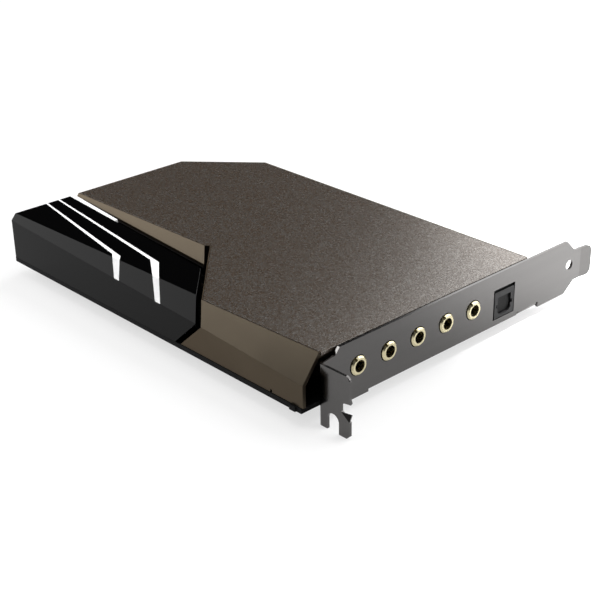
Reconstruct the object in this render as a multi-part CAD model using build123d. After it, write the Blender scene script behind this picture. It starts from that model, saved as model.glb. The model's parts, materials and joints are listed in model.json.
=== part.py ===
"""Internal sound card with a full-height slot bracket, as separate pieces in millimetres.

Origin: centre of the bracket's screw slot, on the seating face of the screw tab.
X runs along the card away from the bracket, Y towards the tab, Z from the solder side up.
"""
import os
from math import cos, radians, sin, sqrt, tan

from build123d import *

# Clearances
reach = 5.0             # how far large cutting shapes run past what they cut
over = 1.0              # how far small ones do
fit = 0.1               # radial play of screws in their holes
seam = 0.15             # play between shells that sit in one another
jack_play = 0.25        # between a jack bushing and its bracket hole
socket_play = 0.05      # between the optical housing and the near side of its bracket window
flap_play = 0.2         # round the shutter flap

# Bracket sheet
sheet = 0.86
screw_to_face = 4.65    # screw slot centre to the panel's outer face
bracket_length = 120.02
panel_width = 18.1
panel_low = -0.15
tab_bend = 1.0          # outer radius of the bend to the tab
tab_width = 10.85       # panel's outer face to the tab's free edge
tab_low = -3.3
tab_high = 15.45
tab_corner = 1.6
tab_chamfer = 1.05
screw_slot = 4.42
edge_notch_low = 4.25
edge_notch_high = 6.95
edge_notch_depth = 3.2
folded_corner_size = 2.3
upper_corner_angle = 20.0
lower_corner_angle = 45.0
neck_rise = 0.45
neck_length = 5.38
neck_corner = 1.75
raised_edge = 0.85      # how far the lower edge steps up between the ears
raised_from = 18.3      # tab's outer face to that step
ear_inset = 4.92        # board's far edge to the ear at the tongue end
ear_width = 8.7
ear_length = 6.5
ear_bend = 1.3
relief = 0.9
shoulder = 4.6          # length of the slopes before the tongue
tongue_length = 8.0
tongue_low = 3.3
tongue_high = 13.6
tongue_tip_length = 4.9
tongue_tip_angle = 9.0
tongue_corner = 2.2
tongue_hole_inset = 10.7
tongue_hole_z = 9.3
tongue_hole = 3.3

# Circuit board
board_thickness = 1.6
board_low = 1.15
board_start = 2.36      # from the panel's outer face
board_length = 142.0
board_near = 5.84
board_height = 102.9
nub_from = 2.0
nub_length = 2.4
nub_size = 0.5
finger_height = 8.2
finger_bevel = 0.5
key_distance = 57.15    # panel's outer face to the key notch
key_width = 1.9
contact_pitch = 1.0
contact_width = 0.7
contact_length = 5.6
contact_thickness = 0.05
contacts_before_key = 11
contacts_after_key = 7

# Shroud and top plate
shroud_start = 2.0      # from the panel's outer face
shroud_near = 5.61
shroud_inset = 8.16     # from the board's far edge
shroud_overhang = 1.5   # past the board's end
shroud_top = 17.7
shroud_wall = 1.2
facet_run = 6.17        # width of the near bevel at the bracket end
facet_taper = 0.0405
facet_slope = 1.3
far_chamfer_x = 23.1
far_chamfer_y = 21.1
plate_thickness = 1.0
plate_start = 1.6
plate_rim = 0.3
skin = 1.0
slit_x = 14.4
slit_width = 0.7
slit_height = 0.9
far_step_length = 11.4
far_step = 0.5

# Recess in the shroud for the end cover
recess_distance = 77.7  # panel's outer face to the recess's inner corner
recess_y = -25.39
recess_angle = 43.0
recess_gap = 1.63
recess_drift = 0.0284
recess_depth_end = 1.0
recess_depth_taper = 0.0489
skirt_distance = 54.66  # panel's outer face to the foot of the slanted side joint

# End cover
cover_rise = 0.4        # above the shroud's top
cover_out = 0.15        # outside the shroud's side
cover_run_end = 1.75
cover_run_taper = 0.0341
cover_slope = 1.15
rim_y_end = -17.9
rim_drift = -0.0777
trough_depth = 8.0
ledge_width = 1.0
ledge_drop = 0.3
line_depth = 0.7
strip_length = 29.2
strip_width_end = 1.9
strip_width_start = 1.3
strip_depth = 1.5

# White lines on the end cover: from its far end to a bend, then down the bevel
outer_end_y = -8.15
outer_bend_x = 93.6     # from the panel's outer face
outer_bend_y = 0.75
outer_foot_x = 86.2
inner_end_y = -13.0
inner_bend_x = 81.5
inner_bend_y = -4.9
inner_foot_x = 65.7
line_end_width = 0.64
line_bend_width = 0.78
line_bend_skew = 3.3
line_foot_width = 2.5

# Screws and bosses
thread_sides = 8        # a thread is left as a plain core with this many sides
screw_end_gap = 0.5     # between a screw's end and the bottom of its hole
cover_screw_radius = 1.25
cover_screw_head = 2.4
cover_screw_head_height = 1.2
cover_screw_length = 6.5
boss_radius = 3.0
boss_gap = 3.0          # from a boss to the jacks or the end wall
bracket_screw_radius = 1.5
bracket_screw_head = 2.8
bracket_screw_head_height = 1.4

# Jacks
jack_count = 5
jack_first = 14.2       # tab's outer face to the first jack's axis
jack_z = 9.67
jack_front = 0.7        # how far the bushing stands out of the panel
jack_bore = 3.64
jack_ring = 5.8
jack_lip = 0.45
jack_bushing_length = 6.6
jack_body_gap = 0.64    # between neighbouring jack bodies
jack_body_length = 14.0
jack_body_top = 15.0
jack_body_chamfer = 1.0
jack_wall = 1.2
jack_cavity = 5.0
jack_notch = 0.7
jack_notch_depth = 0.75
jack_notch_length = 1.0
jack_notch_turn = 60.0
spring_leaf = 0.25
spring_width = 1.2
spring_length = 5.0

# Optical socket
socket_inset = 12.54    # shroud's far side to the socket's axis
socket_gap = 14.86      # socket's axis to the last jack's
window_width = 9.9
window_shift = 0.35     # window's middle from the socket's axis, towards the jacks
window_low = 2.65
window_high = 12.6
socket_setback = 0.15
socket_drop = 1.1       # window's top edge to the housing's top
socket_depth = 13.0
socket_chamfer = 2.0
mouth_width = 6.1
mouth_height = 5.9
mouth_low = 3.7
mouth_chamfer = 1.05
key_slot = 0.72
key_slot_height = 1.3
cavity_depth = 9.0
flap_thickness = 0.7
flap_setback = 0.6
hinge_rise = 0.7
hinge_radius = 0.7
hinge_pin_radius = 0.35
hinge_play = 0.05
coil_length = 1.6
coil_radius = 0.56
coil_wire = 0.2
coil_pitch = 0.4
emitter_radius = 1.3
emitter_length = 1.5

# Board components
analogue_x = 15.0       # back of the jacks to the first row of chips
op_amp_y = -20.0
op_amp_pitch = 12.0
op_amp_count = 5
op_amp_size = (5.0, 6.0, 1.7)
amplifier_place = (24.0, -22.0)
amplifier_size = (6.5, 6.5, 1.2)
converter_place = (28.0, -45.0)
converter_size = (10.0, 10.0, 1.4)
film_place = (22.0, -56.0)
film_pitch = 8.0
film_count = 3
film_size = (7.3, 4.5, 7.5)
can_place = (34.0, -18.0)
can_pitch = 6.0
can_count = 4
can_radius = 3.15
can_height = 7.7
relay_x = 40.0
relay_inset = 12.64     # from the shroud's far side
relay_pitch = 20.0
relay_count = 2
relay_size = (15.0, 7.5, 10.0)
processor_x = 50.0
processor_inset = 28.64
processor_size = (14.0, 14.0, 1.6)
crystal_x = 68.0
crystal_size = (4.8, 11.5, 3.5)
regulator_place = (82.0, -62.0)
regulator_pitch = 10.0
regulator_count = 3
regulator_size = (6.6, 6.2, 2.3)
inductor_place = (92.0, -62.0)
inductor_size = (7.0, 7.0, 4.2)
chip_chamfer = 0.3
header_inset_x = 5.5
header_inset_y = 9.0
header_pitch = 2.54
header_columns = 5
header_margin = 1.3
header_base = 2.5
header_pin = 0.64
header_pin_height = 8.5
joint_radius = 0.8
joint_tip = 0.3
joint_height = 0.5
joint_sides = 6

# Worked-out places
face_x = screw_to_face
back_x = face_x + sheet
tab_y = sheet
tip_y = tab_y - bracket_length
panel_high = panel_low + panel_width
board_x0 = face_x + board_start
board_x1 = board_x0 + board_length
board_top = board_low + board_thickness
board_far = board_near - board_height
shroud_far = board_far + shroud_inset
finger_y = board_far - finger_height
key_x = face_x + key_distance
shroud_x0 = face_x + shroud_start
shroud_x1 = board_x1 + shroud_overhang
cover_x1 = board_x1
plate_bed = shroud_top - plate_thickness
ceiling = plate_bed - skin
recess_x = face_x + recess_distance
skirt_x = face_x + skirt_distance
gap_x = recess_gap / sin(radians(recess_angle))
cover_top = shroud_top + cover_rise
cover_near = shroud_near + cover_out
socket_y = shroud_far + socket_inset
jack_start = tab_y - jack_first
jack_pitch = (jack_start - socket_y - socket_gap) / (jack_count - 1)
jack_places = [jack_start - jack_pitch * step for step in range(jack_count)]
jack_body_width = jack_pitch - jack_body_gap
jack_body_x = back_x + jack_play
socket_x = face_x + socket_setback
socket_high = window_high - socket_drop
mouth_high = mouth_low + mouth_height
hinge_x = socket_x + flap_setback + hinge_radius
hinge_z = mouth_high + hinge_rise
ear_low = board_low - sheet
ear_places = [board_far + ear_inset, tab_y - raised_from + relief]
ear_screw_x = board_x0 + ear_length / 2


def polygon(points):
    return make_face(Polyline(*points, close=True))


def prism_x(points, x0, x1):
    return extrude(Plane.YZ.offset(x0) * polygon(points), x1 - x0)


def prism_y(points, y0, y1):
    return extrude(Plane.XZ.offset(-y1) * polygon(points), y1 - y0)


def prism_z(points, z0, z1):
    return extrude(Plane.XY.offset(z0) * polygon(points), z1 - z0)


def block(x0, x1, y0, y1, z0, z1):
    return Pos((x0 + x1) / 2, (y0 + y1) / 2, (z0 + z1) / 2) * Box(x1 - x0, y1 - y0, z1 - z0)


def rod_x(x0, x1, y, z, radius):
    base = (Align.CENTER, Align.CENTER, Align.MIN)
    return Pos(x0, y, z) * Rot(0, 90, 0) * Cylinder(radius, x1 - x0, align=base)


def rod_y(x, y0, y1, z, radius):
    base = (Align.CENTER, Align.CENTER, Align.MIN)
    return Pos(x, y0, z) * Rot(-90, 0, 0) * Cylinder(radius, y1 - y0, align=base)


def rod_z(x, y, z0, z1, radius):
    base = (Align.CENTER, Align.CENTER, Align.MIN)
    return Pos(x, y, z0) * Cylinder(radius, z1 - z0, align=base)


def core_z(x, y, z0, z1, radius):
    """Threaded core of a screw, or the hole that takes it."""
    return extrude(Plane.XY.offset(z0) * Pos(x, y) * RegularPolygon(radius, thread_sides), z1 - z0)


def flat_sided(first, last):
    """Solid between two outlines with equally many corners, its sides flat."""
    sides = []
    for n in range(len(first)):
        sides.append(polygon([first[n - 1], first[n], last[n], last[n - 1]]))
    return Solid(Shell([polygon(first), polygon(last), *sides]))


def along_x(section, x0, x1):
    """Straight-sided solid between two outlines in the YZ plane, section(x) giving each."""
    first, last = [[(x, y, z) for y, z in section(x)] for x in (x0, x1)]
    return flat_sided(first, last)


def edge_near(shape, axis, point):
    return shape.edges().filter_by(axis).sort_by_distance(point)[0]


# Lines that shape the shroud and the end cover
def facet_width(x):
    return facet_run - facet_taper * (x - shroud_x0)


def cover_facet_width(x):
    return cover_run_end + cover_run_taper * (cover_x1 - x)


def diagonal_x(y, shift=0.0):
    """X on the recess's slanted end at a given Y, moved towards the end cover by a shift."""
    angle = radians(recess_angle)
    return recess_x - (y - recess_y) / tan(angle) + shift / sin(angle)


def recess_start():
    angle = radians(recess_angle)
    return recess_x + recess_gap * sin(angle), recess_y + recess_gap * cos(angle)


def recess_edge(x):
    start_x, start_y = recess_start()
    return start_y + recess_drift * (x - start_x)


def recess_depth(x):
    return recess_depth_end + recess_depth_taper * (cover_x1 - x)


def recess_foot(x):
    return recess_edge(x) + recess_depth(x) / facet_slope


def rim_line(x):
    return rim_y_end + rim_drift * (x - cover_x1)


def on_diagonal(line, shift):
    """Point where a line y = line(x) meets the slanted end."""
    drift = line(1.0) - line(0.0)
    angle = tan(radians(recess_angle))
    at_zero = diagonal_x(0.0, shift)
    y = (line(0.0) + drift * at_zero) / (1 + drift / angle)
    return diagonal_x(y, shift), y


def facet_cut(near, top, width, slope, x0, x1):
    """What a bevel takes off a near upper edge; width(x) is its breadth in plan."""
    def section(x):
        inner = near - width(x)
        foot = top - slope * width(x)
        outer = near + reach
        above = top + reach
        return [(inner, top), (near, foot), (outer, foot), (outer, above), (inner, above)]

    return along_x(section, x0, x1)


def inner_width(width, slope):
    """Breadth of a bevel on a cavity that keeps the wall's thickness behind the bevel."""
    change = shroud_wall * (sqrt(1 + slope**2) - 1 - slope) / slope
    return lambda x: width(x) + change


def slanted_joint(x_high, z_high, x_low):
    """Outline in XZ of what lies on the bracket's side of the slanted side joint."""
    left = x_high - 4 * reach
    below = board_top - reach
    return [(left, z_high), (x_high, z_high), (x_low, board_top), (x_low, below), (left, below)]


# Bracket
def bracket_fold():
    tab_end = face_x - tab_width
    inner = tab_bend - sheet
    centre = (back_x - tab_bend, tab_y - tab_bend)
    outline = [
        Line((tab_end, 0), (centre[0], 0)),
        CenterArc(centre, inner, 90, -90),
        Line((face_x, centre[1]), (face_x, tip_y + tongue_tip_length)),
        Line((face_x, tip_y + tongue_tip_length), (back_x, tip_y + tongue_tip_length)),
        Line((back_x, tip_y + tongue_tip_length), (back_x, centre[1])),
        CenterArc(centre, tab_bend, 0, 90),
        Line((centre[0], tab_y), (tab_end, tab_y)),
        Line((tab_end, tab_y), (tab_end, 0)),
    ]
    return extrude(Plane.XY.offset(tab_low) * make_face(outline), panel_high - tab_low)


def bracket_outline():
    neck_y = tab_y - neck_length
    tongue_y = tip_y + tongue_length
    raised = panel_low + raised_edge
    ear_start = ear_places[0] + ear_width + relief
    ear_end = ear_places[0] - relief
    ear_top = ear_low + ear_bend
    return [
        (tab_y + reach, tab_low),
        (tab_y - tab_bend, tab_low),
        (tab_y - tab_bend, panel_low),
        (tab_y - raised_from, panel_low),
        (tab_y - raised_from, raised),
        (ear_start, raised),
        (ear_start, ear_top),
        (ear_end, ear_top),
        (ear_end, panel_low),
        (tongue_y + shoulder, panel_low),
        (tongue_y, tongue_low),
        (tip_y - reach, tongue_low),
        (tip_y - reach, tongue_high),
        (tongue_y, tongue_high),
        (tongue_y + shoulder, panel_high),
        (neck_y - neck_corner, panel_high),
        (neck_y, tab_high + neck_rise),
        (tab_y - tab_bend, tab_high),
        (tab_y + reach, tab_high),
    ]


def bracket_ear(y0):
    centre = (face_x + ear_bend, ear_low + ear_bend)
    end_x = board_x0 + ear_length
    plate_top = ear_low + sheet
    outline = [
        CenterArc(centre, ear_bend, 180, 90),
        Line((centre[0], ear_low), (end_x, ear_low)),
        Line((end_x, ear_low), (end_x, plate_top)),
        Line((end_x, plate_top), (centre[0], plate_top)),
        CenterArc(centre, ear_bend - sheet, 270, -90),
        Line((back_x, centre[1]), (face_x, centre[1])),
    ]
    return extrude(Plane.XZ.offset(-y0 - ear_width) * make_face(outline), ear_width)


def folded_corner(base_z, turn, angle):
    """Corner of the tab's edge notch, folded back about its slanted base line."""
    tab_end = face_x - tab_width
    inner = (tab_end + edge_notch_depth, base_z)
    outer = (tab_end, base_z - turn * folded_corner_size)
    tip = (tab_end, base_z)
    hinge = Axis((inner[0], tab_y, inner[1]), (outer[0] - inner[0], 0, outer[1] - inner[1]))
    return prism_y([inner, outer, tip], 0, tab_y).rotate(hinge, -turn * angle)


def bracket():
    fold = bracket_fold() & prism_x(bracket_outline(), face_x - tab_width - reach, back_x + reach)
    tab_end = face_x - tab_width
    middle_y = tab_y / 2
    fold = fillet(edge_near(fold, Axis.Y, (tab_end, middle_y, tab_high)), tab_corner)
    fold = chamfer(edge_near(fold, Axis.Y, (tab_end, middle_y, tab_low)), tab_chamfer)
    slot_radius = screw_slot / 2
    fold -= rod_y(0, -reach, reach, 0, slot_radius)
    fold -= block(-slot_radius, slot_radius, -reach, reach, tab_low - reach, 0)
    notch_x = tab_end + edge_notch_depth
    fold -= block(tab_end - reach, notch_x, -reach, reach, edge_notch_low, edge_notch_high)
    corners = [(edge_notch_low, 1, lower_corner_angle), (edge_notch_high, -1, upper_corner_angle)]
    for base_z, turn, angle in corners:
        corner_z = base_z - turn * folded_corner_size
        outside = tab_end - reach
        corner = [(notch_x, base_z), (outside, base_z), (outside, corner_z), (tab_end, corner_z)]
        fold -= prism_y(corner, -reach, reach)
        fold += folded_corner(base_z, turn, angle)
    tip = block(face_x, back_x, tip_y, tip_y + tongue_tip_length, tongue_low, tongue_high)
    for end_z in (tongue_low, tongue_high):
        tip = fillet(edge_near(tip, Axis.X, (face_x, tip_y, end_z)), tongue_corner)
    bend = Axis((back_x, tip_y + tongue_tip_length, 0), (0, 0, 1))
    fold += tip.rotate(bend, -tongue_tip_angle)
    for y0 in ear_places:
        fold += bracket_ear(y0)
        fold -= core_z(ear_screw_x, y0 + ear_width / 2, ear_low - over, board_low, bracket_screw_radius + fit)
    for jack_y in jack_places:
        fold -= rod_x(face_x - reach, back_x + reach, jack_y, jack_z, jack_ring / 2 + jack_play)
    window_y0 = socket_y + window_shift - window_width / 2
    window_y1 = window_y0 + window_width
    fold -= block(face_x - reach, back_x + reach, window_y0, window_y1, window_low, window_high)
    hole_y = tip_y + tongue_hole_inset
    fold -= rod_x(face_x - reach, back_x + reach, hole_y, tongue_hole_z, tongue_hole / 2)
    return fold


def pan_screw(x, y, seat_z, radius, head_radius, head_height, length):
    """Screw driven upwards, its head below the seat."""
    head = rod_z(x, y, seat_z - head_height, seat_z, head_radius)
    return head + core_z(x, y, seat_z, seat_z + length, radius)


def bracket_screws():
    length = board_top - ear_low
    sizes = (ear_low, bracket_screw_radius, bracket_screw_head, bracket_screw_head_height, length)
    return Compound(children=[pan_screw(ear_screw_x, y0 + ear_width / 2, *sizes) for y0 in ear_places])


# Circuit board
def finger_span():
    x0 = key_x - key_width / 2 - contacts_before_key * contact_pitch - contact_pitch / 2
    x1 = key_x + key_width / 2 + contacts_after_key * contact_pitch + contact_pitch / 2
    return x0, x1


def boss_places():
    inset = boss_radius + shroud_wall / 3
    shroud = [
        (jack_body_x + jack_body_length + inset + boss_gap, shroud_near - facet_run - inset),
        (jack_body_x + jack_body_length + inset + boss_gap, shroud_far + inset),
        (shroud_x1 - far_chamfer_x - 2 * inset, shroud_far + inset),
        (cover_x1 - inset - boss_gap, recess_edge(cover_x1) - 2 * inset),
    ]
    cover = [
        (recess_x - boss_gap, shroud_near - facet_run - boss_gap),
        (cover_x1 - inset - boss_gap, shroud_near - facet_run - boss_gap),
    ]
    return shroud, cover


def circuit_board():
    board = block(board_x0, board_x1, board_far, board_near, board_low, board_top)
    nub_x = board_x0 + nub_from
    board += block(nub_x, nub_x + nub_length, board_near, board_near + nub_size, board_low, board_top)
    tip = board_thickness / 2 - finger_bevel
    middle = (board_low + board_top) / 2
    tongue = [
        (board_far + reach, board_low),
        (board_far + reach, board_top),
        (finger_y + 2 * finger_bevel, board_top),
        (finger_y, middle + tip),
        (finger_y, middle - tip),
        (finger_y + 2 * finger_bevel, board_low),
    ]
    x0, x1 = finger_span()
    board += prism_x(tongue, x0, x1)
    key_half = key_width / 2
    low = board_low - over
    high = board_top + over
    board -= block(key_x - key_half, key_x + key_half, finger_y - over, board_far, low, high)
    shroud, cover = boss_places()
    for x, y in shroud + cover:
        board -= core_z(x, y, low, high, cover_screw_radius + fit)
    for y0 in ear_places:
        board -= core_z(ear_screw_x, y0 + ear_width / 2, low, high, bracket_screw_radius + fit)
    return board


def edge_contacts():
    before = key_x - key_width / 2 - contacts_before_key * contact_pitch
    after = key_x + key_width / 2
    starts = [before + contact_pitch * step for step in range(contacts_before_key)]
    starts += [after + contact_pitch * step for step in range(contacts_after_key)]
    margin = (contact_pitch - contact_width) / 2
    y0 = finger_y + 2 * finger_bevel + margin
    pads = []
    for x in starts:
        for z in (board_low - contact_thickness, board_top):
            x0 = x + margin
            pads.append(block(x0, x0 + contact_width, y0, y0 + contact_length, z, z + contact_thickness))
    return Compound(children=pads)


# Shroud, top plate and end cover
def shroud_plan(x0):
    return [
        (x0, shroud_near),
        (shroud_x1, shroud_near),
        (shroud_x1, shroud_far + far_chamfer_y),
        (shroud_x1 - far_chamfer_x, shroud_far),
        (x0, shroud_far),
    ]


def recess_plan():
    """The recess as it opens at the shroud's top."""
    end_x = shroud_x1 + reach
    near = shroud_near + reach
    return [
        (diagonal_x(near), near),
        (recess_x, recess_y),
        recess_start(),
        (end_x, recess_edge(end_x)),
        (end_x, near),
    ]


def recess_cut():
    """Slot along the slanted end, the recess itself and its bevelled long edge."""
    end_x = shroud_x1 + reach
    near = shroud_near + reach
    floor_plan = [
        (diagonal_x(near), near),
        (recess_x, recess_y),
        recess_start(),
        on_diagonal(recess_foot, recess_gap),
        (end_x, recess_foot(end_x)),
        (end_x, near),
    ]
    cut = prism_z(floor_plan, board_top - over, shroud_top + reach)

    def bevel(x):
        edge = recess_edge(x)
        foot = recess_foot(x)
        low = shroud_top - recess_depth(x)
        past = foot + over
        above = shroud_top + over
        return [(edge, shroud_top), (foot, low), (past, low), (past, above), (edge, above)]

    beside = [
        (diagonal_x(near, recess_gap), near),
        recess_start(),
        (end_x, recess_start()[1]),
        (end_x, near),
    ]
    cut += along_x(bevel, recess_x - 2 * reach, end_x) & prism_z(beside, board_top, shroud_top + reach)
    kink_x = diagonal_x(shroud_near)
    kink_z = shroud_top - facet_slope * facet_width(kink_x)
    joint = slanted_joint(kink_x, kink_z, skirt_x)
    return cut - prism_y(joint, shroud_near - shroud_wall, shroud_near + 2 * reach)


def top_face(x0):
    """Flat top of the shroud, from a given end at the bracket."""
    outline = [
        (x0, shroud_near - facet_width(x0)),
        (shroud_x1, shroud_near - facet_width(shroud_x1)),
        (shroud_x1, shroud_far + far_chamfer_y),
        (shroud_x1 - far_chamfer_x, shroud_far),
        (x0, shroud_far),
    ]
    return polygon(outline) - polygon(recess_plan())


def inset_face(face, amount):
    return offset(face, -amount, kind=Kind.INTERSECTION)


def shroud():
    shell = prism_z(shroud_plan(shroud_x0), board_top, shroud_top)
    ends = (shroud_x0 - reach, recess_x)
    shell -= facet_cut(shroud_near, shroud_top, facet_width, facet_slope, *ends)
    recess = recess_cut()
    shell -= recess
    inside = Plane.XY.offset(board_top) * inset_face(polygon(shroud_plan(shroud_x0 - reach)), shroud_wall)
    cavity = extrude(inside, ceiling - board_top)
    inner = inner_width(facet_width, facet_slope)
    cavity -= facet_cut(shroud_near - shroud_wall, shroud_top - shroud_wall, inner, facet_slope, *ends)
    round_recess = Plane.XY.offset(board_top) * inset_face(polygon(recess_plan()), -shroud_wall)
    cavity -= extrude(round_recess, shroud_top - board_top)
    shell -= cavity
    bed = Plane.XY.offset(plate_bed) * inset_face(top_face(shroud_x0 - reach), plate_rim)
    shell -= extrude(bed, plate_thickness + over)
    for x, y in boss_places()[0]:
        shell += rod_z(x, y, board_top, ceiling, boss_radius)
        shell -= core_z(x, y, board_top - over, board_top + cover_screw_length, cover_screw_radius + fit)
    slit = face_x + slit_x
    low = board_top - over
    slit_y = shroud_near - shroud_wall - over
    slit_top = board_top + slit_height
    shell -= block(slit, slit + slit_width, slit_y, shroud_near + over, low, slit_top)
    step_end = shroud_x0 + far_step_length
    return shell - block(shroud_x0 - over, step_end, shroud_far - over, shroud_far + far_step, low, plate_bed)


def top_plate():
    start = face_x + plate_start - plate_rim - seam
    outline = Plane.XY.offset(plate_bed) * inset_face(top_face(start), plate_rim + seam)
    return extrude(outline, plate_thickness)


def cover_back(x):
    return recess_foot(x) + seam


def cover_block():
    plan = [
        (diagonal_x(cover_near, recess_gap), cover_near),
        on_diagonal(cover_back, recess_gap),
        (cover_x1, cover_back(cover_x1)),
        (cover_x1, cover_near),
    ]
    solid = prism_z(plan, board_top, cover_top)
    ends = (skirt_x - 4 * reach, cover_x1 + reach)
    return solid - facet_cut(cover_near, cover_top, cover_facet_width, cover_slope, *ends)


def cover_trough():
    floor = cover_top - trough_depth

    def section(x):
        rim = rim_line(x)
        ledge = cover_back(x) + ledge_width
        ledge_top = shroud_top - recess_depth(x) - ledge_drop
        return [
            (rim, cover_top + over),
            (rim, floor),
            (ledge, floor),
            (ledge, ledge_top),
            (ledge - reach, ledge_top),
            (ledge - reach, cover_top + over),
        ]

    return along_x(section, skirt_x - reach, cover_x1 + reach)


def cover_cavity():
    wall = shroud_wall
    end_x = cover_x1 - wall

    def room(back, z1):
        plan = [
            (diagonal_x(cover_near - wall, recess_gap + wall), cover_near - wall),
            on_diagonal(back, recess_gap + wall),
            (end_x, back(end_x)),
            (end_x, cover_near - wall),
        ]
        return prism_z(plan, board_top - over, z1)

    cavity = room(lambda x: rim_line(x) + wall, cover_top - wall)
    inner = inner_width(cover_facet_width, cover_slope)
    ends = (skirt_x - 4 * reach, cover_x1 + reach)
    cavity -= facet_cut(cover_near - wall, cover_top - wall, inner, cover_slope, *ends)
    return cavity + room(lambda x: cover_back(x) + wall, cover_top - trough_depth - wall)


def accent_line(outline):
    """White inlay in the cover's top and bevel, from its outline in plan."""
    solid = cover_block()
    layer = solid - Pos(0, 0, -line_depth) * cover_block()
    ends = (skirt_x, cover_x1)
    feet = [(x, cover_top - cover_slope * cover_facet_width(x)) for x in ends]
    above = feet + [(cover_x1, cover_top + over), (skirt_x, cover_top + over)]
    upper = prism_y(above, recess_y - reach, cover_near + over)
    return layer & prism_z(outline, board_top, cover_top + over) & upper


def line_outline(end_y, bend_x, bend_y, foot_x):
    """Long arm from the far end to the bend, then a short arm down the bevel."""
    return [
        (cover_x1, end_y),
        (face_x + bend_x, bend_y),
        (face_x + foot_x, cover_near),
        (face_x + foot_x - line_foot_width, cover_near),
        (face_x + bend_x - line_bend_skew, bend_y - line_bend_width),
        (cover_x1, end_y - line_end_width),
    ]


def light_strip():
    start_x = cover_x1 - strip_length
    plan = [
        (cover_x1, rim_line(cover_x1)),
        (start_x, rim_line(start_x)),
        (start_x, rim_line(start_x) - strip_width_start),
        (cover_x1, rim_line(cover_x1) - strip_width_end),
    ]
    return prism_z(plan, cover_top - strip_depth, cover_top)


def end_cover(lines):
    kink_x = diagonal_x(cover_near, recess_gap)
    kink_z = cover_top - cover_slope * cover_facet_width(kink_x)
    wall_x = shroud_wall / sin(radians(recess_angle))
    joint = slanted_joint(kink_x, kink_z, skirt_x + gap_x)
    inner_joint = slanted_joint(kink_x + wall_x, kink_z, skirt_x + gap_x + wall_x)
    corner = prism_y(joint, recess_y - reach, cover_near + reach)
    inner_corner = prism_y(inner_joint, recess_y - reach, cover_near + reach)
    shell = cover_block() - cover_trough() - corner
    shell -= cover_cavity() - inner_corner
    for line in lines:
        shell -= line
    for x, y in boss_places()[1]:
        shell += rod_z(x, y, board_top, cover_top - shroud_wall, boss_radius)
        shell -= core_z(x, y, board_top - over, board_top + cover_screw_length, cover_screw_radius + fit)
    return shell


def cover_screws():
    shroud_bosses, cover_bosses = boss_places()
    length = board_thickness + cover_screw_length - screw_end_gap
    sizes = (board_low, cover_screw_radius, cover_screw_head, cover_screw_head_height, length)
    return Compound(children=[pan_screw(x, y, *sizes) for x, y in shroud_bosses + cover_bosses])


# Jacks
def jack_springs(jack_y):
    """Three leaf contacts round the plug's way, each with a tail down to the board."""
    inner = jack_bore / 2 + fit
    outer = inner + spring_leaf
    half = spring_width / 2
    x0 = jack_body_x + jack_bushing_length
    x1 = x0 + spring_length
    tail_x = x0 + spring_length / 2
    leaves = []
    for side in (-1, 1):
        y0, y1 = sorted((jack_y + side * inner, jack_y + side * outer))
        leaf = block(x0, x1, y0, y1, jack_z - half, jack_z + half)
        leaves.append(leaf + block(tail_x, tail_x + spring_width, y0, y1, board_top, jack_z))
    leaf = block(x0, x1, jack_y - half, jack_y + half, jack_z - outer, jack_z - inner)
    leaves.append(leaf + block(x1 - spring_leaf, x1, jack_y - half, jack_y + half, board_top, jack_z - inner))
    return leaves


def jack_body(jack_y):
    half = jack_body_width / 2
    x1 = jack_body_x + jack_body_length
    body = block(jack_body_x, x1, jack_y - half, jack_y + half, board_top, jack_body_top)
    body = chamfer(body.edges().filter_by(Axis.X).group_by(Axis.Z)[-1], jack_body_chamfer)
    sleeve_end = face_x - jack_front + jack_bushing_length
    body -= rod_x(jack_body_x - over, sleeve_end, jack_y, jack_z, jack_ring / 2 + fit)
    room = jack_cavity / 2
    room_end = x1 - jack_wall
    body -= block(sleeve_end, room_end, jack_y - room, jack_y + room, jack_z - room, jack_z + room)
    inner = jack_bore / 2 + fit
    outer = inner + spring_leaf
    slot = spring_width / 2 + fit
    x0 = jack_body_x + jack_bushing_length
    tail_x = x0 + spring_length / 2
    for side in (-1, 1):
        y0, y1 = sorted((jack_y + side * (inner - fit), jack_y + side * (outer + fit)))
        body -= block(tail_x - fit, tail_x + spring_width + fit, y0, y1, board_top - over, jack_z)
    tail_x = x0 + spring_length
    tail_x0 = tail_x - spring_leaf - fit
    return body - block(tail_x0, tail_x + fit, jack_y - slot, jack_y + slot, board_top - over, jack_z)


def jack_bushing(jack_y):
    """Gilt sleeve with a bevelled lip and a key notch in its rim."""
    bore = jack_bore / 2
    ring = jack_ring / 2
    front = face_x - jack_front
    back = front + jack_bushing_length
    lip = front + jack_lip
    outline = [(front, bore), (front, ring - jack_lip), (lip, ring), (back, ring), (back, bore)]
    half = jack_notch / 2
    notch = block(front - over, front + jack_notch_length, ring - jack_notch_depth, ring + over, -half, half)
    bushing = revolve(polygon(outline), Axis.X) - Rot(jack_notch_turn, 0, 0) * notch
    return Pos(0, jack_y, jack_z) * bushing


# Optical socket
def mouth_outline(play):
    half = mouth_width / 2 - play
    low = mouth_low + play
    return [
        (socket_y - half, mouth_high),
        (socket_y + half, mouth_high),
        (socket_y + half, low + mouth_chamfer),
        (socket_y + half - mouth_chamfer, low),
        (socket_y - half + mouth_chamfer, low),
        (socket_y - half, low + mouth_chamfer),
    ]


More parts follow.
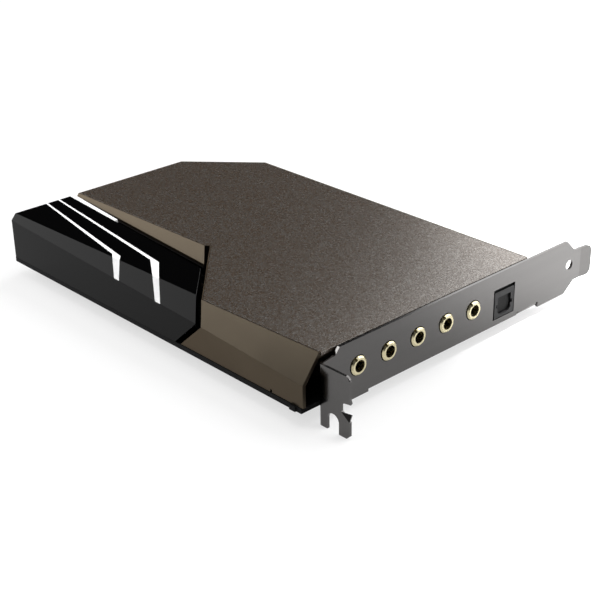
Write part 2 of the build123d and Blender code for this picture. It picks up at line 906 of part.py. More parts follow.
def optical_housing():
    half = window_width / 2 - window_shift - socket_play
    x1 = socket_x + socket_depth
    body = block(socket_x, x1, socket_y - half, socket_y + half, board_top, socket_high)
    body = chamfer(edge_near(body, Axis.Y, (x1, socket_y, socket_high)), socket_chamfer)
    front = socket_x - over
    end_x = socket_x + cavity_depth
    body -= prism_x(mouth_outline(0), front, end_x)
    key = mouth_width / 2 + key_slot
    middle = (mouth_low + mouth_high) / 2
    key_low = middle - key_slot_height / 2
    body -= block(front, end_x, socket_y - key, socket_y + key, key_low, key_low + key_slot_height)
    side = mouth_width / 2
    pocket_x = socket_x + flap_setback - flap_play
    swing_x = hinge_x + mouth_height + hinge_rise + flap_play
    roof = hinge_z + hinge_radius + flap_play
    body -= block(pocket_x, swing_x, socket_y - side, socket_y + side, mouth_high - over, roof)
    return body - rod_y(hinge_x, socket_y - side - over, socket_y + side + over, hinge_z, hinge_pin_radius)


def optical_shutter():
    x0 = socket_x + flap_setback
    flap = prism_x(mouth_outline(flap_play), x0, x0 + flap_thickness)
    half = mouth_width / 2 - flap_play
    flap += block(x0, x0 + flap_thickness, socket_y - half, socket_y + half, mouth_high, hinge_z)
    flap += rod_y(hinge_x, socket_y - half, socket_y + half, hinge_z, hinge_radius)
    end_y = socket_y + half + over
    flap -= rod_y(hinge_x, socket_y - half - over, end_y, hinge_z, hinge_pin_radius + hinge_play)
    coil_y = socket_y + half - coil_length
    return flap - rod_y(hinge_x, coil_y, end_y, hinge_z, hinge_radius + flap_play)


def shutter_pin():
    half = mouth_width / 2 + over
    return rod_y(hinge_x, socket_y - half, socket_y + half, hinge_z, hinge_pin_radius)


def shutter_spring():
    coil = Helix(coil_pitch, coil_length - 2 * coil_pitch, coil_radius)
    section = Plane(coil @ 0, x_dir=(1, 0, 0), z_dir=coil % 0) * Rectangle(coil_wire, coil_wire)
    wire = sweep(section, path=coil, is_frenet=True)
    start_y = socket_y + mouth_width / 2 - flap_play - coil_length + coil_pitch
    return Pos(hinge_x, start_y, hinge_z) * Rot(-90, 0, 0) * wire


def optical_emitter():
    x1 = socket_x + cavity_depth
    middle = (mouth_low + mouth_high) / 2
    return rod_x(x1 - emitter_length, x1, socket_y, middle, emitter_radius)


# Board components
def chip(x, y, length, width, height):
    half_x = length / 2
    half_y = width / 2
    body = block(x - half_x, x + half_x, y - half_y, y + half_y, board_top, board_top + height)
    return chamfer(body.faces().sort_by(Axis.Z)[-1].edges(), chip_chamfer)


def can(x, y, radius, height):
    return rod_z(x, y, board_top, board_top + height, radius)


def row(make, place, step_x, step_y, count, *sizes):
    """Equal components in a line, counted from the back of the jacks."""
    x = jack_body_x + jack_body_length + place[0]
    return Compound(children=[make(x + step_x * n, place[1] + step_y * n, *sizes) for n in range(count)])


def single(place, size):
    return chip(jack_body_x + jack_body_length + place[0], place[1], *size)


def header_centre():
    return board_x1 - header_inset_x, board_far + header_inset_y


def header_places():
    """Two rows of pins on the board's open far corner."""
    x, y = header_centre()
    middle = (header_columns - 1) / 2
    half = header_pitch / 2
    rows = [y + header_pitch * (n - middle) for n in range(header_columns)]
    return [(x + side * half, pin_y) for pin_y in rows for side in (-1, 1)]


def header_pins():
    half = header_pin / 2
    top = board_top + header_pin_height
    return [block(x - half, x + half, y - half, y + half, board_top, top) for x, y in header_places()]


def front_panel_header():
    x, y = header_centre()
    half_x = header_pitch / 2 + header_margin
    half_y = header_pitch * (header_columns - 1) / 2 + header_margin
    base = block(x - half_x, x + half_x, y - half_y, y + half_y, board_top, board_top + header_base)
    hole = header_pin / 2 + fit
    above = board_top + header_base + over
    for x, y in header_places():
        base -= block(x - hole, x + hole, y - hole, y + hole, board_top - over, above)
    return base


def solder_joints():
    places = header_places()
    spring_y = jack_bore / 2 + fit
    for jack_y in jack_places:
        x = jack_body_x + jack_bushing_length + spring_length / 2
        places += [(x, jack_y - spring_y), (x, jack_y + spring_y), (x + spring_length / 2, jack_y)]
    turns = [radians(360 / joint_sides * n) for n in range(joint_sides)]
    foot = [(joint_radius * cos(a), joint_radius * sin(a), board_low) for a in turns]
    tip = [(joint_tip * cos(a), joint_tip * sin(a), board_low - joint_height) for a in turns]
    joint = flat_sided(foot, tip)
    return [Pos(x, y, 0) * joint for x, y in places]


lines = {
    "light_line_outer": accent_line(line_outline(outer_end_y, outer_bend_x, outer_bend_y, outer_foot_x)),
    "light_line_inner": accent_line(line_outline(inner_end_y, inner_bend_x, inner_bend_y, inner_foot_x)),
}
parts = {
    "bracket": bracket(),
    "bracket_screws": bracket_screws(),
    "circuit_board": circuit_board(),
    "edge_contacts": edge_contacts(),
    "shroud": shroud(),
    "top_plate": top_plate(),
    "end_cover": end_cover(lines.values()),
    "light_strip": light_strip(),
    "cover_screws": cover_screws(),
    "optical_housing": optical_housing(),
    "optical_shutter": optical_shutter(),
    "shutter_pin": shutter_pin(),
    "shutter_spring": shutter_spring(),
    "optical_emitter": optical_emitter(),
    "audio_processor": single((processor_x, shroud_far + processor_inset), processor_size),
    "converter_chip": single(converter_place, converter_size),
    "headphone_amplifier": single(amplifier_place, amplifier_size),
    "op_amps": row(chip, (analogue_x, op_amp_y), 0, -op_amp_pitch, op_amp_count, *op_amp_size),
    "crystal": single((crystal_x, shroud_far + processor_inset), crystal_size),
    "regulators": row(chip, regulator_place, 0, regulator_pitch, regulator_count, *regulator_size),
    "inductors": row(chip, inductor_place, 0, regulator_pitch, regulator_count, *inductor_size),
    "electrolytic_capacitors": row(can, can_place, can_pitch, -can_pitch, can_count, can_radius, can_height),
    "film_capacitors": row(chip, film_place, 0, -film_pitch, film_count, *film_size),
    "relays": row(chip, (relay_x, shroud_far + relay_inset), relay_pitch, 0, relay_count, *relay_size),
    "front_panel_header": front_panel_header(),
    "header_pins": Compound(children=header_pins()),
    "solder_joints": Compound(children=solder_joints()),
}
parts.update(lines)
for number, jack_y in enumerate(jack_places, start=1):
    parts[f"jack_{number}_body"] = jack_body(jack_y)
    parts[f"jack_{number}_bushing"] = jack_bushing(jack_y)
    parts[f"jack_{number}_contacts"] = Compound(children=jack_springs(jack_y))

os.makedirs("parts", exist_ok=True)
for name, shape in parts.items():
    export_step(shape, f"parts/{name}.step")
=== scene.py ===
"""Looks of the internal sound card: materials, fine detail, light and camera.

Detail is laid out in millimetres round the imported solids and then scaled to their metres.
"""
import json
from math import cos, pi, radians, sin

import bmesh
import bpy
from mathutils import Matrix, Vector


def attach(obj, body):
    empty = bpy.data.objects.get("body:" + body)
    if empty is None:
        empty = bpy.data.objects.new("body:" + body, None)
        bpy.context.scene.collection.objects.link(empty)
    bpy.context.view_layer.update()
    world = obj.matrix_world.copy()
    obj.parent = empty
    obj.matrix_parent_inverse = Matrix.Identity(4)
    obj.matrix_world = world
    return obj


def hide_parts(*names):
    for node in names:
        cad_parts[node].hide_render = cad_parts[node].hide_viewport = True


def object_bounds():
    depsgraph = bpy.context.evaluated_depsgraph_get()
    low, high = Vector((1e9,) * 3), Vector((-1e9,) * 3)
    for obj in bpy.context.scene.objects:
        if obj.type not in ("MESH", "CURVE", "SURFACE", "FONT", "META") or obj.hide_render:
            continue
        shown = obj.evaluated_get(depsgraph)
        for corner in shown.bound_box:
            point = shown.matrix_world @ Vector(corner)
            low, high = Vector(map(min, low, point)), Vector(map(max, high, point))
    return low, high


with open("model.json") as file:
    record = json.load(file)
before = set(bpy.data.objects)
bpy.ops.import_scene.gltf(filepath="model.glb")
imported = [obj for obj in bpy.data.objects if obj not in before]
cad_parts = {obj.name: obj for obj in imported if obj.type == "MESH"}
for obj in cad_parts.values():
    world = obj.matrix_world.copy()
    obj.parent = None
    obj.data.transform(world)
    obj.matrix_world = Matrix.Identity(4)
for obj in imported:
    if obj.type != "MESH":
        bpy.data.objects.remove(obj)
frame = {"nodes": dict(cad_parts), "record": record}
cad_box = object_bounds()
nodes = frame["nodes"]
slot_of = {part["node"]: part["material_slot"] for part in frame["record"]["subparts"]}
scene = bpy.context.scene
mm = 0.001
weld_distance = 0.002 * mm


# Materials
class Nodes:
    """A node tree and short ways to add nodes to it."""

    def __init__(self, tree):
        self.tree = tree

    def node(self, kind, **inputs):
        """A new node, each input set to a value or linked to another node's output."""
        made = self.tree.nodes.new("ShaderNode" + kind)
        for name, value in inputs.items():
            socket = made.inputs[name.replace("_", " ")]
            if isinstance(value, bpy.types.NodeSocket):
                self.tree.links.new(value, socket)
            else:
                socket.default_value = value
        return made

    def math(self, operation, first, second):
        made = self.node("Math")
        made.operation = operation
        self.tree.links.new(first, made.inputs[0])
        self.tree.links.new(second, made.inputs[1])
        return made.outputs["Value"]

    def spread(self, value, low, high, start=0.3, end=0.7):
        """Maps values from start to end onto low to high. The defaults suit a noise."""
        ends = {"From_Min": start, "From_Max": end, "To_Min": low, "To_Max": high}
        return self.node("MapRange", Value=value, **ends).outputs["Result"]

    def ramp(self, value, *stops, interpolation="LINEAR"):
        """Colour by value, from stops of a position and a colour."""
        made = self.node("ValToRGB", Fac=value)
        made.color_ramp.interpolation = interpolation
        elements = made.color_ramp.elements
        while len(elements) < len(stops):
            elements.new(0.5)
        for element, (position, colour) in zip(elements, stops):
            element.position = position
            element.color = (*colour, 1.0)
        return made.outputs["Color"]

    def seen(self):
        """Picks what the camera sees: directly, as a reflection or through glass."""
        rays = self.node("LightPath").outputs
        shown = self.math("ADD", rays["Is Camera Ray"], rays["Is Glossy Ray"])
        return self.math("ADD", shown, rays["Is Transmission Ray"])


class Look(Nodes):
    """A procedural material round one Principled shader."""

    def __init__(self, name, colour, metallic=0.0, roughness=0.5, **sockets):
        self.material = bpy.data.materials.new(name)
        self.material.use_nodes = True
        super().__init__(self.material.node_tree)
        self.shader = self.tree.nodes["Principled BSDF"]
        self.colour = colour
        sockets.update(Base_Color=(*colour, 1.0), Metallic=metallic, Roughness=roughness)
        for socket, value in sockets.items():
            self.shader.inputs[socket.replace("_", " ")].default_value = value

    def link(self, output, socket):
        self.tree.links.new(output, self.shader.inputs[socket])

    def here(self, stretch=None):
        """Object coordinates in metres, with a factor for each axis where asked."""
        place = self.node("TexCoord").outputs["Object"]
        if stretch:
            return self.node("Mapping", Vector=place, Scale=stretch).outputs["Vector"]
        return place

    def noise(self, scale, detail=2.0, stretch=None, rough=0.5):
        place = self.here(stretch)
        made = self.node("TexNoise", Vector=place, Scale=scale, Detail=detail, Roughness=rough)
        return made.outputs["Fac"]

    def mottle(self, texture, dark, light):
        """Colour that varies between two shares of the base colour."""
        stops = [(place, [channel * share for channel in self.colour])
                 for place, share in ((0.3, dark), (0.7, light))]
        self.link(self.ramp(texture, *stops), "Base Color")

    def gloss(self, texture, low, high):
        self.link(self.spread(texture, low, high), "Roughness")

    def relief(self, texture, strength, distance):
        made = self.node("Bump", Height=texture, Strength=strength, Distance=distance)
        self.link(made.outputs["Normal"], "Normal")


def grained_bronze():
    """Metal flakes in a darker binder; a flake is brighter, more metallic and raised."""
    binder = (0.0385, 0.0250, 0.0154)
    middle = (0.0675, 0.0484, 0.0330)
    flake = (0.179, 0.167, 0.154)
    start, end = 0.42, 0.58
    look = Look("grained_bronze", middle, metallic=0.42, roughness=0.26)
    grain = look.noise(2800.0, 1.0, rough=0.4)
    look.link(look.ramp(grain, (start, binder), (0.50, middle), (end, flake)), "Base Color")
    look.link(look.spread(grain, 0.05, 0.74, start, end), "Metallic")
    look.gloss(look.noise(900.0), 0.24, 0.285)
    look.relief(grain, 0.3, 0.0001)
    return look.material


def satin_bronze():
    look = Look("satin_bronze", (0.064, 0.0533, 0.039), metallic=0.88, roughness=0.31,
                Specular_Tint=(0.76, 0.62, 0.52, 1.0))
    cloud = look.noise(60.0, 3.0)
    look.mottle(cloud, 0.94, 1.06)
    look.gloss(cloud, 0.29, 0.34)
    look.relief(look.noise(5200.0), 0.12, 0.00004)
    return look.material


def gloss_black():
    look = Look("gloss_black", (0.0007, 0.0007, 0.0008), roughness=0.06, Specular_IOR_Level=0.07)
    look.gloss(look.noise(140.0, 4.0), 0.045, 0.085)
    look.relief(look.noise(90.0), 0.03, 0.0002)
    return look.material


def bracket_steel():
    look = Look("bracket_steel", (0.094, 0.091, 0.0893), metallic=1.0, roughness=0.15)
    brushed = look.noise(420.0, 4.0, (1.0, 0.06, 1.0))
    look.mottle(brushed, 0.97, 1.03)
    look.gloss(brushed, 0.135, 0.165)
    look.relief(look.noise(3000.0), 0.10, 0.00003)
    return look.material


def plated(name, colour, roughness):
    look = Look(name, colour, metallic=1.0, roughness=roughness)
    cloud = look.noise(900.0, 3.0)
    look.mottle(cloud, 0.92, 1.05)
    look.gloss(cloud, roughness * 0.85, roughness * 1.25)
    return look.material


def moulded(name, colour, roughness, scale=2400.0, strength=0.25, vary=0.12, **sockets):
    look = Look(name, colour, roughness=roughness, **sockets)
    grain = look.noise(scale)
    look.mottle(grain, 1 - vary, 1 + vary)
    look.gloss(grain, roughness * 0.92, roughness * 1.1)
    look.relief(grain, strength, 0.00006)
    return look.material


def solder_mask(name, colour, metallic=0.0):
    look = Look(name, colour, metallic=metallic, roughness=0.38, Specular_IOR_Level=0.03)
    weave = look.noise(700.0, 3.0)
    look.mottle(weave, 0.8, 1.3)
    look.gloss(weave, 0.32, 0.46)
    look.relief(weave, 0.08, 0.00005)
    return look.material


def clear_red():
    look = Look("clear_red", (0.5, 0.06, 0.05), roughness=0.12, Transmission_Weight=0.6)
    look.gloss(look.noise(1500.0), 0.08, 0.16)
    return look.material


looks = {
    "bronze_grain": grained_bronze(),
    "bronze_satin": satin_bronze(),
    "gloss_black": gloss_black(),
    "bracket_steel": bracket_steel(),
    "screw_steel": plated("screw_steel", (0.50, 0.50, 0.51), 0.30),
    "gold": plated("gold", (0.57, 0.515, 0.335), 0.27),
    "solder": plated("solder", (0.62, 0.63, 0.65), 0.26),
    "can_aluminium": plated("can_aluminium", (0.72, 0.72, 0.73), 0.30),
    "board_black": solder_mask("solder_mask", (0.008, 0.008, 0.0084)),
    "white_inlay": moulded("white_inlay", (0.93, 0.93, 0.93), 0.42, 1800.0, 0.04, 0.03),
    "socket_grey": moulded("socket_grey", (0.017, 0.017, 0.0176), 0.52, Specular_IOR_Level=0.13),
    "shutter_grey": moulded("shutter_grey", (0.0025, 0.0025, 0.0026), 0.48,
                            Specular_IOR_Level=0.09),
    "chip_black": moulded("chip_black", (0.02, 0.02, 0.021), 0.55),
    "ferrite_grey": moulded("ferrite_grey", (0.10, 0.10, 0.105), 0.7),
    "film_red": moulded("film_red", (0.42, 0.05, 0.04), 0.45),
    "relay_white": moulded("relay_white", (0.72, 0.71, 0.67), 0.5),
    "jack_black": moulded("jack_black", (0.012, 0.012, 0.012), 0.5),
    "lens_clear": clear_red(),
}
masked_copper = solder_mask("masked_copper", (0.021, 0.019, 0.016), 0.5)
for name, node in nodes.items():
    node.data.materials.clear()
    node.data.materials.append(looks[slot_of[name]])


# Edges: sheet and mouldings have slightly broken edges, this wide in millimetres
edge_widths = {
    "shroud": 0.12, "end_cover": 0.06, "bracket": 0.05, "top_plate": 0.06, "circuit_board": 0.08,
    "optical_housing": 0.07, "optical_shutter": 0.05, "front_panel_header": 0.15,
    "header_pins": 0.10, "relays": 0.25, "film_capacitors": 0.3, "inductors": 0.2,
    "audio_processor": 0.1, "converter_chip": 0.1, "headphone_amplifier": 0.1, "op_amps": 0.08,
    "regulators": 0.1,
}
sharp_from = radians(25)
for name, width in edge_widths.items():
    weld = nodes[name].modifiers.new("weld", "WELD")
    weld.merge_threshold = weld_distance
    bevel = nodes[name].modifiers.new("bevel", "BEVEL")
    bevel.width = width * mm
    bevel.segments = 2
    bevel.limit_method = "ANGLE"
    bevel.angle_limit = sharp_from
    bevel.harden_normals = True


# Fine detail that the solids leave plain
def solids_of(name):
    """Lowest and highest corner of each separate solid of a node, in millimetres."""
    mesh = bmesh.new()
    mesh.from_mesh(nodes[name].data)
    bmesh.ops.remove_doubles(mesh, verts=mesh.verts, dist=weld_distance)
    boxes, left = [], set(mesh.verts)
    while left:
        group, todo = [], [left.pop()]
        while todo:
            vert = todo.pop()
            group.append(vert.co / mm)
            near = {edge.other_vert(vert) for edge in vert.link_edges} & left
            left -= near
            todo += near
        boxes.append(tuple(Vector(end(point[axis] for point in group) for axis in range(3))
                           for end in (min, max)))
    mesh.free()
    return sorted(boxes, key=lambda box: tuple(round(number, 3) for number in box[0]))


def middle(box):
    """Centre of a solid's box, seen from above."""
    low, high = box
    return (low.x + high.x) / 2, (low.y + high.y) / 2


def add(name, mesh, slot, smooth=False):
    """Turns a bmesh in millimetres into a piece of the card."""
    bmesh.ops.scale(mesh, vec=(mm, mm, mm), verts=mesh.verts)
    bmesh.ops.recalc_face_normals(mesh, faces=mesh.faces)
    data = bpy.data.meshes.new(name)
    mesh.to_mesh(data)
    mesh.free()
    for face in data.polygons:
        face.use_smooth = smooth
    data.materials.append(looks[slot])
    made = bpy.data.objects.new(name, data)
    scene.collection.objects.link(made)
    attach(made, "card")
    return made


def even_turns(count):
    return [2 * pi * n / count for n in range(count)]


def turned(mesh, centre, rings, turns, tip=None):
    """A turned form: rings of (radius or its rule by angle, height), closed at a tip."""
    x, y, z = centre
    before = None
    for radius, height in rings:
        reach = radius if callable(radius) else lambda turn, size=radius: size
        ring = [mesh.verts.new((x + reach(a) * cos(a), y + reach(a) * sin(a), z + height))
                for a in turns]
        for n in range(len(ring)) if before else ():
            after = (n + 1) % len(ring)
            mesh.faces.new((before[n], before[after], ring[after], ring[n]))
        before = ring
    if tip is None:
        return
    end = mesh.verts.new((x, y, z + tip))
    for n in range(len(before)):
        mesh.faces.new((before[n], before[(n + 1) % len(before)], end))


def cross_recess(arm, half):
    """Rule for the outline of a cross, and the turns that meet its corners."""
    corner = half / arm
    opposite = pi / 2 - corner
    quarter = (0.0, corner, (corner + pi / 4) / 2, pi / 4, (opposite + pi / 4) / 2, opposite)

    def reach(turn):
        turn = turn % (pi / 2)
        turn = min(turn, pi / 2 - turn)
        return min(arm / cos(turn), half / max(sin(turn), 1e-6))

    return reach, [q * pi / 2 + part for q in range(4) for part in quarter]


# Screws: shares of the head's radius, then of its height
core_share, arm_share, arm_half_share = 0.52, 0.55, 0.13
head_profile = ((1.0, 0.0), (1.0, 0.42), (0.95, 0.70), (0.82, 0.90), (0.66, 1.0))
recess_taper, recess_wall, recess_tip = 0.78, 0.42, 0.25
ridges, root_share, point_share = 14, 0.84, 0.5


def screws(name):
    """Pan heads with a cross recess and ridged shanks, driven up from below."""
    mesh = bmesh.new()
    for low, high in solids_of(name):
        head = (high.x - low.x) / 2
        tall = head / 2
        core = head * core_share
        seat = (*middle((low, high)), low.z + tall)
        length = high.z - seat[2]
        reach, turns = cross_recess(head * arm_share, head * arm_half_share)
        rings = [(core * point_share, length)]
        rings += [(core * (1.0 if step % 2 else root_share), length * (1 - step / ridges))
                  for step in range(ridges)]
        rings += [(core, 0.0)]
        rings += [(head * part, -drop * tall) for part, drop in head_profile]
        rings += [(reach, -tall), (lambda turn: recess_taper * reach(turn), -recess_wall * tall)]
        turned(mesh, seat, rings, turns, -recess_tip * tall)
    piece = add(name + "_driven", mesh, slot_of[name])
    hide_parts(name)


# Solder: shares of a joint's radius and height
wetting = ((1.0, 0.0), (0.86, 0.06), (0.66, 0.20), (0.50, 0.42), (0.42, 0.66), (0.36, 0.82),
           (0.22, 0.95))


def joints():
    """Solder that wets the pad and climbs the pin."""
    mesh = bmesh.new()
    for low, high in solids_of("solder_joints"):
        foot = (high.x - low.x) / 2
        tall = high.z - low.z
        rings = [(foot * part, -tall * rise) for part, rise in wetting]
        turned(mesh, (*middle((low, high)), high.z), rings, even_turns(20), -tall)
    piece = add("solder_joints_wetted", mesh, "solder", True)
    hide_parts("solder_joints")


# Board, in millimetres: a layout of the usual kind
track_rise, track_width, power_width, line_crown = 0.035, 0.28, 0.5, 0.8
hole_outer, hole_inner, hole_rise = 0.42, 0.2, 1.3
screw_clearance, joint_clearance, chip_clearance = 4.2, 1.5, 1.2
group_size = 9                  # half of the contacts on a side
power_places, filtered_places = (3, 7), (1, 2, 5, 6)
power_end, power_hole, filter_end = 1.6, 2.0, 2.6       # past the ends of the contacts
fan_start, fan_pitch, fan_shift, fan_run, fan_vary = 4.0, 0.6, 5.5, 6.0, 2.4
upper_end, upper_vary = 1.6, 1.3
bus_pitch, bus_bend, bus_stagger = 0.75, 0.41, 1.6
stitch_pitch, stitch_inset, stitch_start = 5.2, 1.6, 4.0
row_count, row_end, slot_margin = 26, 2, 10.4
column_count, column_end = 18, 10
slot_chip, board_chip = (1.0, 0.55), (1.6, 0.8)         # length and width
chip_height, chip_end = 0.55, 0.22                      # by the width and the length
foot_length, foot_rise = 0.25, 0.09
chip_count, chip_steps = 34, (37.0, 23.5)
field_inset, field_size = (16, 18), (116, 66)
pad_rings = ((3.4, 0.0), (3.35, -track_rise), (1.7, -track_rise))
mark_gap, mark_width, mark_rise = 0.9, 0.22, 0.02
buses = (                       # number of tracks and the points that they follow
    (5, ((20, -14), (34, -14), (48, -28), (88, -28))),
    (4, ((20, -34), (30, -34), (44, -48), (44, -66))),
    (6, ((60, -10), (96, -10), (108, -22), (108, -48))),
    (4, ((20, -56), (28, -56), (36, -64), (36, -76))),
    (5, ((52, -40), (72, -40), (84, -52), (84, -72))),
    (4, ((118, -8), (118, -30), (126, -38), (126, -62))),
    (3, ((64, -54), (64, -72), (70, -78))),
    (4, ((98, -56), (112, -56), (118, -62), (118, -80))),
)


def ribbon(mesh, points, width, z, rise):
    """A raised line along points on the board."""
    points = [Vector(point) for point in points]
    sides = []
    for n, point in enumerate(points):
        back = (point - points[n - 1]).normalized() if n else None
        ahead = (points[n + 1] - point).normalized() if n + 1 < len(points) else None
        along = ((back or ahead) + (ahead or back)).normalized()
        across = Vector((-along.y, along.x)) * width / 2
        across /= max(0.5, along.dot(ahead or back))
        corners = ((point + across, 0), (point + across * line_crown, rise),
                   (point - across * line_crown, rise), (point - across, 0))
        sides.append([mesh.verts.new((*place, z + height)) for place, height in corners])
    for before, after in zip(sides, sides[1:]):
        for n in range(3):
            mesh.faces.new((before[n], before[n + 1], after[n + 1], after[n]))


class Board:
    """The board's measures and the meshes of its detail."""

    def __init__(self):
        self.low, self.high = solids_of("circuit_board")[0]
        self.under = (self.low.z, -track_rise)
        self.over = (self.high.z, track_rise)
        self.contacts = solids_of("edge_contacts")
        self.contact_end = max(high.y for low, high in self.contacts)
        heads = solids_of("cover_screws") + solids_of("bracket_screws")
        self.heads = [middle(box) for box in heads]
        self.blocked = [(*place, screw_clearance) for place in self.heads]
        self.blocked += [(*middle(box), joint_clearance) for box in solids_of("solder_joints")]
        self.tracks, self.rims, self.caps, self.bodies, self.marks = (bmesh.new() for _ in range(5))

    def free(self, x, y, margin=0.0):
        return all((x - bx) ** 2 + (y - by) ** 2 > (size + margin) ** 2
                   for bx, by, size in self.blocked)

    def hole(self, x, y, side):
        """A plated hole's rim."""
        z, rise = side
        rise *= hole_rise
        rings = [(hole_outer, 0.0), (hole_outer * 0.94, rise), (hole_inner, rise),
                 (hole_inner * 0.9, 0.0)]
        turned(self.rims, (x, y, z), rings, even_turns(14))

    def route(self, points, side):
        """A track that ends in a plated hole."""
        ribbon(self.tracks, points, track_width, *side)
        self.hole(*points[-1], side)

    def chip(self, x, y, size, upright):
        """A small chip part with wrapped ends and solder at its feet, under the board."""
        length, width = size
        tall = width * chip_height
        half = length / 2
        end = length * chip_end

        def box(mesh, start, stop, side, height, lean):
            inner = side - lean
            places = ((start, -side, 0.0), (stop, -side, 0.0),
                      (stop, side, 0.0), (start, side, 0.0),
                      (start + lean, -inner, height), (stop - lean, -inner, height),
                      (stop - lean, inner, height), (start + lean, inner, height))
            verts = [mesh.verts.new((x + (v if upright else u), y + (u if upright else v),
                                     self.low.z - w)) for u, v, w in places]
            for face in ((0, 1, 2, 3), (7, 6, 5, 4), (0, 4, 5, 1), (1, 5, 6, 2), (2, 6, 7, 3),
                         (3, 7, 4, 0)):
                mesh.faces.new([verts[n] for n in face])

        box(self.bodies, -half + end, half - end, width * 0.47, tall * 0.94, 0.02)
        for start in (-half, half - end):
            box(self.caps, start, start + end, width / 2, tall, 0.03)
        for start in (-half - foot_length, half):
            box(self.caps, start, start + foot_length, width * 0.55, foot_rise, 0.06)

    def fan_out(self):
        """Tracks from the slot's contacts: below in two groups that spread, above short ones."""
        end = self.contact_end
        below = [box for box in self.contacts if box[0].z < self.low.z]
        above = [box for box in self.contacts if box[0].z >= self.low.z]
        for order, (low, high) in enumerate(below):
            x = (low.x + high.x) / 2
            place = order % group_size
            if place in power_places:
                line = [(x, high.y), (x, end + power_end)]
                ribbon(self.tracks, line, power_width, *self.under)
                self.hole(x, end + power_hole, self.under)
                continue
            right = order >= group_size
            shift = fan_shift if right else -fan_shift
            bend = end + fan_start + fan_pitch * (group_size - 1 - place if right else place)
            stop = bend + fan_shift + fan_run + fan_vary * (order * 5 % 7)
            line = [(x, high.y), (x, bend), (x + shift, bend + fan_shift), (x + shift, stop)]
            if self.free(*line[-1]):
                self.route(line, self.under)
            if place in filtered_places:
                self.chip(x, end + filter_end, slot_chip, True)
        for order, (low, high) in enumerate(above):
            x = (low.x + high.x) / 2
            stop = end + upper_end + upper_vary * (order * 3 % 4)
            if order % 5 != 2:
                self.route([(x, high.y), (x, stop)], self.over)

    def bus(self, count, points):
        """Parallel tracks with a hole at both ends; one that meets an obstacle is left out."""
        for lane in range(count):
            step = bus_pitch * (lane - count / 2)
            line = []
            for n, (x, y) in enumerate(points):
                before, after = points[max(n - 1, 0)], points[min(n + 1, len(points) - 1)]
                upright = x in (before[0], after[0])
                level = y in (before[1], after[1])
                line.append(Vector((x + step * (1.0 if upright else bus_bend),
                                    y + step * (1.0 if level else bus_bend))))
            stagger = bus_stagger * (lane % 2)
            line[0].x += stagger if points[0][1] == points[1][1] else 0.0
            line[-1].y -= stagger
            if all(self.free(*point) for point in line):
                self.route(line, self.under)
                self.hole(*line[0], self.under)

    def stitching(self):
        """Plated holes in rows along the near, far and end edges, under the board."""
        low, high = self.low, self.high
        rows = [(low.x + stitch_start + stitch_pitch * n, y)
                for n in range(row_count) for y in (high.y - stitch_inset, low.y + slot_margin)]
        places = [(x, y) for x, y in rows if x < high.x - row_end]
        column = [(high.x - stitch_inset, high.y - stitch_start - stitch_pitch * n)
                  for n in range(column_count)]
        places += [(x, y) for x, y in column if y > low.y + column_end]
        for x, y in places:
            if self.free(x, y):
                self.hole(x, y, self.under)

    def chips(self):
        """Small chip parts, spread evenly by two steps that wrap round."""
        for n in range(chip_count):
            x = self.low.x + field_inset[0] + (n * chip_steps[0]) % field_size[0]
            y = self.high.y - field_inset[1] - (n * chip_steps[1]) % field_size[1]
            if self.free(x, y, chip_clearance):
                self.chip(x, y, board_chip, n % 3 == 0)

    def screw_pads(self):
        for x, y in self.heads:
            turned(self.rims, (x, y, self.low.z), pad_rings, even_turns(32))

    def header_frame(self):
        """Printed outline round the header."""
        low, high = solids_of("front_panel_header")[0]
        left, right = low.x - mark_gap, high.x + mark_gap
        far, near = low.y - mark_gap, high.y + mark_gap
        corners = [(left, far), (right, far), (right, near), (left, near)]
        for n in range(4):
            line = [corners[n], corners[(n + 1) % 4]]
            ribbon(self.marks, line, mark_width, self.high.z, mark_rise)

    def finish(self):
        add("board_tracks", self.tracks, "board_black").data.materials[0] = masked_copper
        add("board_plating", self.rims, "gold")
        add("chip_ends", self.caps, "solder")
        add("chip_bodies", self.bodies, "ferrite_grey")
        add("board_marks", self.marks, "white_inlay")


screws("cover_screws")
screws("bracket_screws")
joints()
board = Board()
board.fan_out()
for count, points in buses:
    board.bus(count, points)
board.stitching()
board.chips()
board.screw_pads()
board.header_frame()
board.finish()


# Studio, in metres
floor_half = 4.0
floor_drop = 0.05 * mm
floor_glow = (0.66, 1.0)        # share of plain white near the object and away from it
floor_glow_reach = (0.35, 0.9)
sky_levels = ((0.0, 0.015), (0.45, 0.02), (0.80, 0.30), (1.0, 0.40))
backdrop_rise = (0.03, 0.08)    # where the white backdrop fades, as the height of a direction


def floor():
    """A pale floor that keeps the shadow and shows as white round the object."""
    centre = (cad_box[0] + cad_box[1]) / 2
    corners = [(-floor_half, -floor_half), (floor_half, -floor_half), (floor_half, floor_half),
               (-floor_half, floor_half)]
    points = [(centre[0] + x, centre[1] + y, cad_box[0][2] - floor_drop) for x, y in corners]
    mesh = bpy.data.meshes.new("floor")
    mesh.from_pydata(points, [], [(0, 1, 2, 3)])
    made = bpy.data.objects.new("floor", mesh)
    scene.collection.objects.link(made)
    look = Look("floor_white", (0.93, 0.93, 0.93), roughness=0.85, Specular_IOR_Level=0.1)
    away = look.node("VectorMath", Vector=look.here())
    away.operation = "LENGTH"
    share = look.spread(away.outputs["Value"], *floor_glow, *floor_glow_reach)
    mixed = look.node("MixShader", Fac=look.math("MULTIPLY", look.seen(), share))
    white = look.node("Emission", Strength=1.0)
    look.tree.links.new(look.shader.outputs["BSDF"], mixed.inputs[1])
    look.tree.links.new(white.outputs["Emission"], mixed.inputs[2])
    surface = look.tree.nodes["Material Output"].inputs["Surface"]
    look.tree.links.new(mixed.outputs["Shader"], surface)
    mesh.materials.append(look.material)


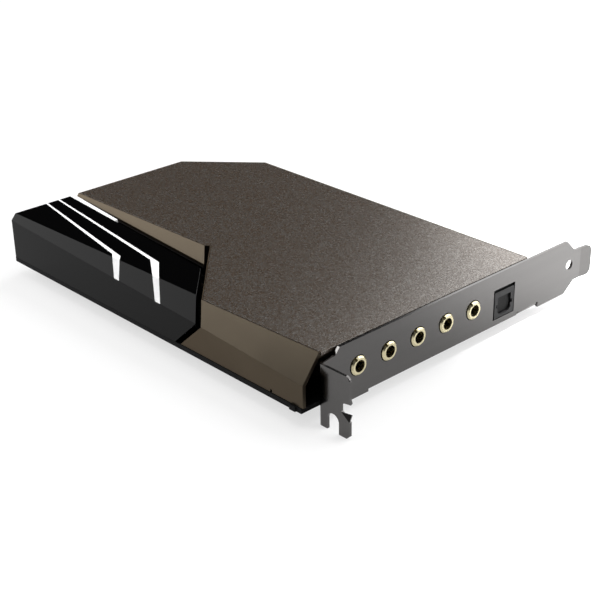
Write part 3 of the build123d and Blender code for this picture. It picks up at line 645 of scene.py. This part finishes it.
def sky():
    """Bright overhead and dim low down, as under a ceiling light, with a white backdrop."""
    world = bpy.data.worlds.new("studio")
    world.use_nodes = True
    scene.world = world
    studio = Nodes(world.node_tree)
    direction = studio.node("TexCoord").outputs["Generated"]
    height = studio.node("SeparateXYZ", Vector=direction).outputs["Z"]
    stops = [(position, (level, level, level)) for position, level in sky_levels]
    ceiling = studio.ramp(height, *stops, interpolation="EASE")
    backdrop = studio.spread(height, 1.0, 0.0, *backdrop_rise)
    mixed = studio.node("Mix")
    mixed.data_type = "RGBA"
    share = studio.math("MULTIPLY", studio.seen(), backdrop)
    studio.tree.links.new(share, mixed.inputs["Factor"])
    studio.tree.links.new(ceiling, mixed.inputs["A"])
    mixed.inputs["B"].default_value = (1.0, 1.0, 1.0, 1.0)
    background = studio.tree.nodes["Background"]
    background.inputs["Strength"].default_value = 1.0
    studio.tree.links.new(mixed.outputs["Result"], background.inputs["Color"])


def place(name, data, location, turn):
    made = bpy.data.objects.new(name, data)
    made.location = location
    made.rotation_mode = "QUATERNION"
    made.rotation_quaternion = turn
    scene.collection.objects.link(made)
    return made


def lamp(name, location, target, size, power, spot=None):
    """A square softbox, or with an angle a spot whose light stays in its cone."""
    data = bpy.data.lights.new(name, "SPOT" if spot else "AREA")
    data.energy = power
    if spot:
        data.shadow_soft_size = size
        data.spot_size = radians(spot)
        data.spot_blend = 0.7
    else:
        data.size = size
    turn = (Vector(target) - Vector(location)).to_track_quat("-Z", "Y")
    place(name, data, location, turn).visible_camera = False


def camera():
    """The camera that was solved from the photograph."""
    data = bpy.data.cameras.new("camera")
    data.sensor_width = 36.0
    data.lens = 78.207
    data.clip_start = 0.01
    turn = (-0.3340298, -0.2176963, 0.4844375, 0.7786866)
    scene.camera = place("camera", data, (-0.214542, 0.209245, 0.180840), turn)


floor()
sky()
lamp("right_softbox", (0.046, -0.55, 0.362), (0.03, -0.07, 0.018), 0.80, 6.2)
lamp("left_softbox", (0.88, 0.255, 0.40), (0.08, 0.0, 0.01), 0.76, 6.8)
lamp("top_softbox", (0.02, -0.02, 0.95), (0.02, -0.02, 0.0), 0.50, 2.7)
lamp("floor_spot", (-0.10, -0.26, 0.50), (-0.03, -0.185, 0.0), 0.03, 86.0, 26.0)
lamp("neck_kicker", (0.194, 0.164, 0.178), (0.005, -0.005, 0.017), 0.04, 0.035)
lamp("corner_kicker", (-0.22, -0.216, 0.176), (-0.006, 0.0, 0.015), 0.16, 0.40)
camera()
scene.view_settings.view_transform = "Standard"

bpy.context.view_layer.update()
